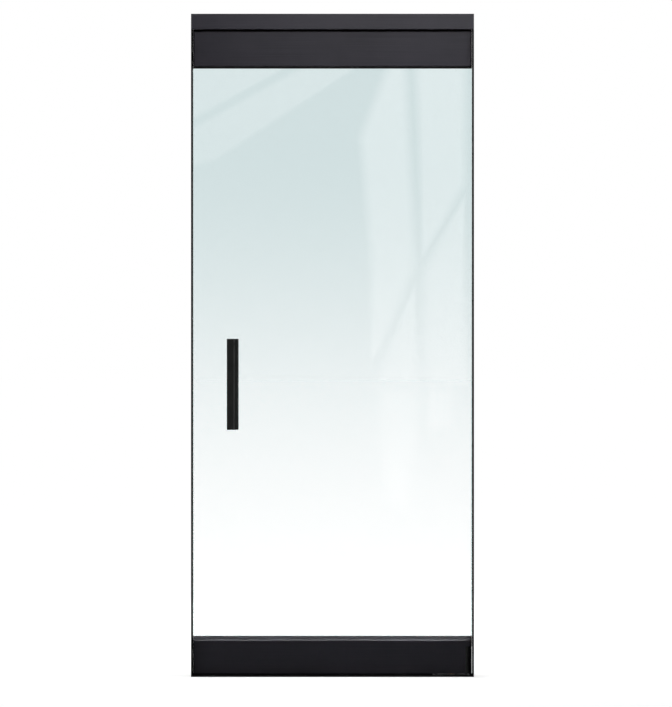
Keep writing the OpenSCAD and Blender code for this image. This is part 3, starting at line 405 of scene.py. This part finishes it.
# Brackets, pivots and screws: zinc-plated steel, bent, turned or rolled. The plating is pale and slightly
# cloudy, with fine turning or rolling marks. The floor plate, the spindle and the arm are oil-blackened.
def plated_steel():
    paint, wire, shader = new_finish("zinc_plated_steel")
    place = wire.place()
    marks = place.scaled(260.0, 260.0, 1800.0).noise()
    bloom = place.noise(scale=85.0, detail=4.0, roughness=0.6)
    wire.feed(shader, {
        "Base Color": bloom.patches().mix((0.42, 0.43, 0.45, 1), (0.56, 0.57, 0.58, 1)),
        "Metallic": 1.0,
        "Roughness": 0.28 + bloom * 0.16 + marks * 0.06,
        "Normal": marks.bump(strength=0.2, depth=0.00004),
    })
    return paint


clad(plated_steel(), "header_bracket_left", "header_bracket_right", "header_bracket_screws", "jamb_screws",
     "floor_pivot_pin", "closer_screws", "cap_screws", "heel_screws", "closer_arm_screws",
     "bottom_pivot_block", "pivot_block_screws", "pull_studs", "pull_grub_screws")


def blackened_steel():
    paint, wire, shader = new_finish("blackened_steel")
    place = wire.place()
    marks = place.scaled(260.0, 260.0, 2200.0).noise()
    oil = place.noise(scale=120.0, detail=3.0).patches()
    wire.feed(shader, {
        "Base Color": oil.mix((0.008, 0.008, 0.009, 1), (0.014, 0.014, 0.016, 1)),
        "Roughness": 0.42 + marks * 0.14,
        "Specular IOR Level": 0.25,
        "Normal": marks.bump(strength=0.2, depth=0.00004),
    })
    return paint


clad(blackened_steel(), "floor_pivot_plate", "closer_spindle", "closer_arm")


# Closer: a grey-painted iron casting with a pebbled skin, hung in the header. Its valve screws, like the bush
# on the floor pin, are turned from bronze.
def cast_iron():
    paint, wire, shader = new_finish("painted_casting")
    place = wire.place()
    pebbles = place.noise(scale=420.0, detail=3.0)
    stain = place.noise(scale=30.0, detail=4.0).patches()
    wire.feed(shader, {
        "Base Color": stain.mix((0.13, 0.14, 0.15, 1), (0.19, 0.20, 0.21, 1)),
        "Roughness": 0.5 + pebbles * 0.15,
        "Normal": pebbles.bump(strength=0.5, depth=0.0004),
    })
    return paint


def turned_bronze():
    paint, wire, shader = new_finish("turned_bronze")
    place = wire.place()
    rings = place.scaled(120.0, 120.0, 2600.0).noise()
    tarnish = place.noise(scale=160.0, detail=4.0).between(0.35, 0.7)
    wire.feed(shader, {
        "Base Color": tarnish.mix((0.55, 0.36, 0.16, 1), (0.36, 0.22, 0.10, 1)),
        "Metallic": 1.0,
        "Roughness": 0.3 + tarnish * 0.2,
        "Normal": rings.bump(strength=0.3, depth=0.00005),
    })
    return paint


clad(cast_iron(), "closer_body")
clad(turned_bronze(), "closer_valves", "pivot_bush")


# Pile and brush strips: black tufts that close the gaps round the leaf. The pile of the jambs and the header
# is woven into a flat backing in a groove, and the leaf's brush has nylon bristles fused into a bar.
TUFT_SIDES = 3
TUFT_ROWS = 5
TUFT_PITCH = 0.0016
END_MARGIN = 0.001


def pile_finish():
    paint, wire, shader = new_finish("black_pile")
    tone = wire.place().noise(scale=1400.0).patches()
    wire.feed(shader, {
        "Base Color": tone.mix(grey(0.005), grey(0.014)),
        "Roughness": 0.75 + tone * 0.15,
        "Specular IOR Level": 0.15,
        "Sheen Weight": 0.15,
        "Sheen Roughness": 0.5,
    })
    return paint


black_pile = pile_finish()


def tufted(name, node, body, bar, roots, tips, thickness):
    """A bar of backing, given by its two corners, with a tapered tuft from each root to its tip."""
    lo, hi = (Vector(corner) for corner in bar)
    outline = ((lo.x, lo.y), (hi.x, lo.y), (hi.x, hi.y), (lo.x, hi.y))
    points = [Vector((x, y, z)) for z in (lo.z, hi.z) for x, y in outline]
    faces = [(3, 2, 1, 0), (4, 5, 6, 7)] + [(i, (i + 1) % 4, (i + 1) % 4 + 4, i + 4) for i in range(4)]
    for root, tip in zip(roots, tips):
        along = (tip - root).normalized()
        side = along.orthogonal().normalized()
        other = along.cross(side)
        first = len(points)
        for end, radius in ((root, thickness / 2), (tip, thickness / 4)):
            for k in range(TUFT_SIDES):
                turn = 2 * math.pi * k / TUFT_SIDES
                points.append(end + (side * math.cos(turn) + other * math.sin(turn)) * radius)
        faces += [(first + k, first + (k + 1) % TUFT_SIDES, first + TUFT_SIDES + (k + 1) % TUFT_SIDES,
                   first + TUFT_SIDES + k) for k in range(TUFT_SIDES)]
        faces.append(tuple(first + TUFT_SIDES + k for k in range(TUFT_SIDES)))
    mesh = bpy.data.meshes.new(name)
    mesh.from_pydata(points, [], faces)
    mesh.materials.append(black_pile)
    strip = bpy.data.objects.new(name, mesh)
    scene.collection.objects.link(strip)
    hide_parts(node)
    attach(strip, body)


def row_offset(row, half):
    """How far a row of tufts stands from the strip's middle."""
    return half * (2 * row / (TUFT_ROWS - 1) - 1)


def tuft_offset(step, row):
    """How far a tuft stands from its row's start. Every other row is shifted by half a pitch."""
    return TUFT_PITCH * (step + 0.5 * (row % 2))


PILE_BACKING = 0.0012
PILE_HALF = 0.0019
PILE_TUFT = 0.0011
PILE_SUNK = 0.0003
PILE_UNEVEN = 0.0003
PILE_LEAN = 0.0004
PILE_GATHER = 0.8


def jamb_pile(node, facing):
    """Pile on one jamb. Facing is 1 where the tufts point along +X."""
    lo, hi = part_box(node)
    back, tip = (lo.x, hi.x) if facing > 0 else (hi.x, lo.x)
    face = back + facing * PILE_BACKING
    chance = random.Random(11)
    roots, tips = [], []
    for step in range(int((hi.z - lo.z - 2 * END_MARGIN) / TUFT_PITCH)):
        for row in range(TUFT_ROWS):
            y = row_offset(row, PILE_HALF)
            z = lo.z + END_MARGIN + tuft_offset(step, row)
            roots.append(Vector((face - facing * PILE_SUNK, y, z)))
            short = PILE_UNEVEN * chance.random()
            sway = PILE_LEAN * (chance.random() - 0.5)
            droop = PILE_LEAN * (chance.random() - 0.5)
            tips.append(Vector((tip - facing * short, y * PILE_GATHER + sway, z + droop)))
    bar = ((min(back, face), lo.y, lo.z), (max(back, face), hi.y, hi.z))
    tufted(node + "_tufts", node, "frame", bar, roots, tips, PILE_TUFT)


jamb_pile("jamb_pile_left", 1)
jamb_pile("jamb_pile_right", -1)

BRISTLE_SUNK = 0.0004
BRISTLE_LEAN = 0.0008
BRISTLE_UNEVEN = 0.0006
BRISTLE_GATHER = 0.6


def hanging(node, name, body, bar_height, half, thickness):
    """A strip that runs along X, its tufts pointing down."""
    lo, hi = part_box(node)
    bar_z = hi.z - bar_height
    chance = random.Random(5)
    roots, tips = [], []
    for step in range(int((hi.x - lo.x - 2 * END_MARGIN) / TUFT_PITCH)):
        for row in range(TUFT_ROWS):
            y = row_offset(row, half)
            x = lo.x + END_MARGIN + tuft_offset(step, row)
            roots.append(Vector((x, y, bar_z + BRISTLE_SUNK)))
            sway = BRISTLE_LEAN * (chance.random() - 0.5)
            short = BRISTLE_UNEVEN * chance.random()
            tips.append(Vector((x + sway, y * BRISTLE_GATHER, lo.z + short)))
    tufted(name, node, body, ((lo.x, lo.y, bar_z), (hi.x, hi.y, hi.z)), roots, tips, thickness)


hanging("header_pile", "header_pile_tufts", "frame", bar_height=PILE_BACKING, half=PILE_HALF,
        thickness=PILE_TUFT)
hanging("bottom_sweep", "bottom_sweep_bristles", "leaf", bar_height=0.0022, half=0.0029, thickness=0.0009)


# Rails: the leaf's two aluminium extrusions with their end caps and channel fillers, anodised the same black
# as the header. The bottom rail's rounded heel is a casting, rumbled and painted.
rail_anodising = anodised("rail_anodising", colour=(0.0268, 0.0250, 0.0329), run="X", gloss=0.35,
                          shine=0.07, wear=1.35)
clad(rail_anodising, "top_rail", "bottom_rail", "top_rail_lead_cap", "top_rail_heel_cap",
     "bottom_rail_lead_cap", "top_rail_filler", "bottom_rail_filler")


def cast_heel():
    paint, wire, shader = new_finish("painted_heel")
    place = wire.place()
    grain = place.noise(scale=900.0)
    edge = rubbed_edge(wire, radius=0.0015) * place.noise(scale=90.0, detail=3.0).patches() * 0.5
    base = place.noise(scale=40.0, detail=3.0).patches().mix(grey(0.010), grey(0.014))
    wire.feed(shader, {
        "Base Color": edge.mix(base, grey(0.035)),
        "Roughness": 0.46 + grain * 0.12,
        "Specular IOR Level": 0.1,
        "Normal": grain.bump(strength=0.35, depth=0.0002),
    })
    return paint


clad(cast_heel(), "bottom_rail_heel")


# Glass: one toughened sheet with a pale green cast, polished on both faces and clamped in the rails. Its
# upright edges are ground to an arris, which leaves them frosted and a deeper green.
def toughened_glass():
    paint, wire, shader = new_finish("toughened_glass")
    frosted = abs(wire.node("TexCoord", out="Normal").axis("X")) > 0.4
    wire.feed(shader, {
        "Base Color": frosted.mix((0.660, 0.768, 0.777, 1), (0.36, 0.58, 0.53, 1)),
        "Roughness": frosted * 0.35,
        "IOR": 1.5,
        "Transmission Weight": 1.0,
    })
    pane = Wire(wire.tree, shader.outputs[0])
    lamplight = wire.node("LightPath", out="Is Shadow Ray")
    through = wire.node("BsdfTransparent", sockets={"Color": (0.80, 0.88, 0.88, 1)})
    surface = wire.node("MixShader", sockets={0: lamplight, 1: pane, 2: through})
    wire.feed(wire.tree.nodes["Material Output"], {"Surface": surface})
    return paint


clad(toughened_glass(), "glass_panel")


# Gaskets and pads: extruded black rubber with a dull bloom. The gaskets hold the glass in both rails, and the
# pads keep its edges off the metal.
def black_rubber():
    paint, wire, shader = new_finish("black_rubber")
    place = wire.place()
    skin = place.scaled(40.0, 1500.0, 1500.0).noise(detail=3.0)
    bloom = place.noise(scale=25.0, detail=4.0).between(0.4, 0.8)
    wire.feed(shader, {
        "Base Color": bloom.mix(grey(0.005), grey(0.009)),
        "Roughness": 0.6 + skin * 0.2,
        "Specular IOR Level": 0.2,
        "Normal": skin.bump(strength=0.3, depth=0.00008),
    })
    return paint


clad(black_rubber(), "top_gasket_front", "top_gasket_back", "bottom_gasket_front", "bottom_gasket_back",
     "glass_setting_blocks", "glass_top_pads")


# Wedges, bushes and washers: moulded nylon in its own off-white. The wedges clamp the glass in the rails, and
# the bushes and washers keep the pull's steel off the glass.
def moulded_nylon():
    paint, wire, shader = new_finish("moulded_nylon")
    place = wire.place()
    flow = place.noise(scale=70.0, detail=3.0).patches()
    skin = place.noise(scale=1100.0)
    wire.feed(shader, {
        "Base Color": flow.mix((0.62, 0.61, 0.57, 1), (0.72, 0.71, 0.67, 1)),
        "Roughness": 0.4 + skin * 0.15,
        "Normal": skin.bump(strength=0.2, depth=0.0001),
    })
    return paint


clad(moulded_nylon(), "top_clamp_wedges", "bottom_clamp_wedges", "pull_bushes", "pull_washers")


# Pulls: a bevelled bar on two turned posts on each face of the glass, powder-coated black. The coat has the
# fine orange peel of powder, and a painted highlight runs in patches along the arris where the bevel meets
# the front.
PULL_BEVEL_W = 0.012


def powder_coat():
    paint, wire, shader = new_finish("black_powder_coat")
    place = wire.place()
    peel = place.noise(scale=650.0)
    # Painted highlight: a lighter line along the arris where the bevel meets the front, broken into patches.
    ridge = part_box("front_pull_bar")[1].x - PULL_BEVEL_W
    highlight_patches = place.noise(scale=45.0, detail=3.0).between(0.1, 0.5)
    edge = (1 - abs(place.axis("X") - ridge).between(0.0004, 0.0022)) * highlight_patches
    base = place.noise(scale=20.0, detail=3.0).patches().mix((0.0145, 0.0150, 0.0145, 1),
                                                             (0.0185, 0.0190, 0.0182, 1))
    wire.feed(shader, {
        "Base Color": edge.mix(base, grey(0.08)),
        "Roughness": 0.4 + peel * 0.14,
        "Specular IOR Level": 0.2,
        "Normal": peel.bump(strength=0.3, depth=0.00015),
    })
    return paint


clad(powder_coat(), "front_pull_bar", "back_pull_bar", "front_pull_posts", "back_pull_posts")
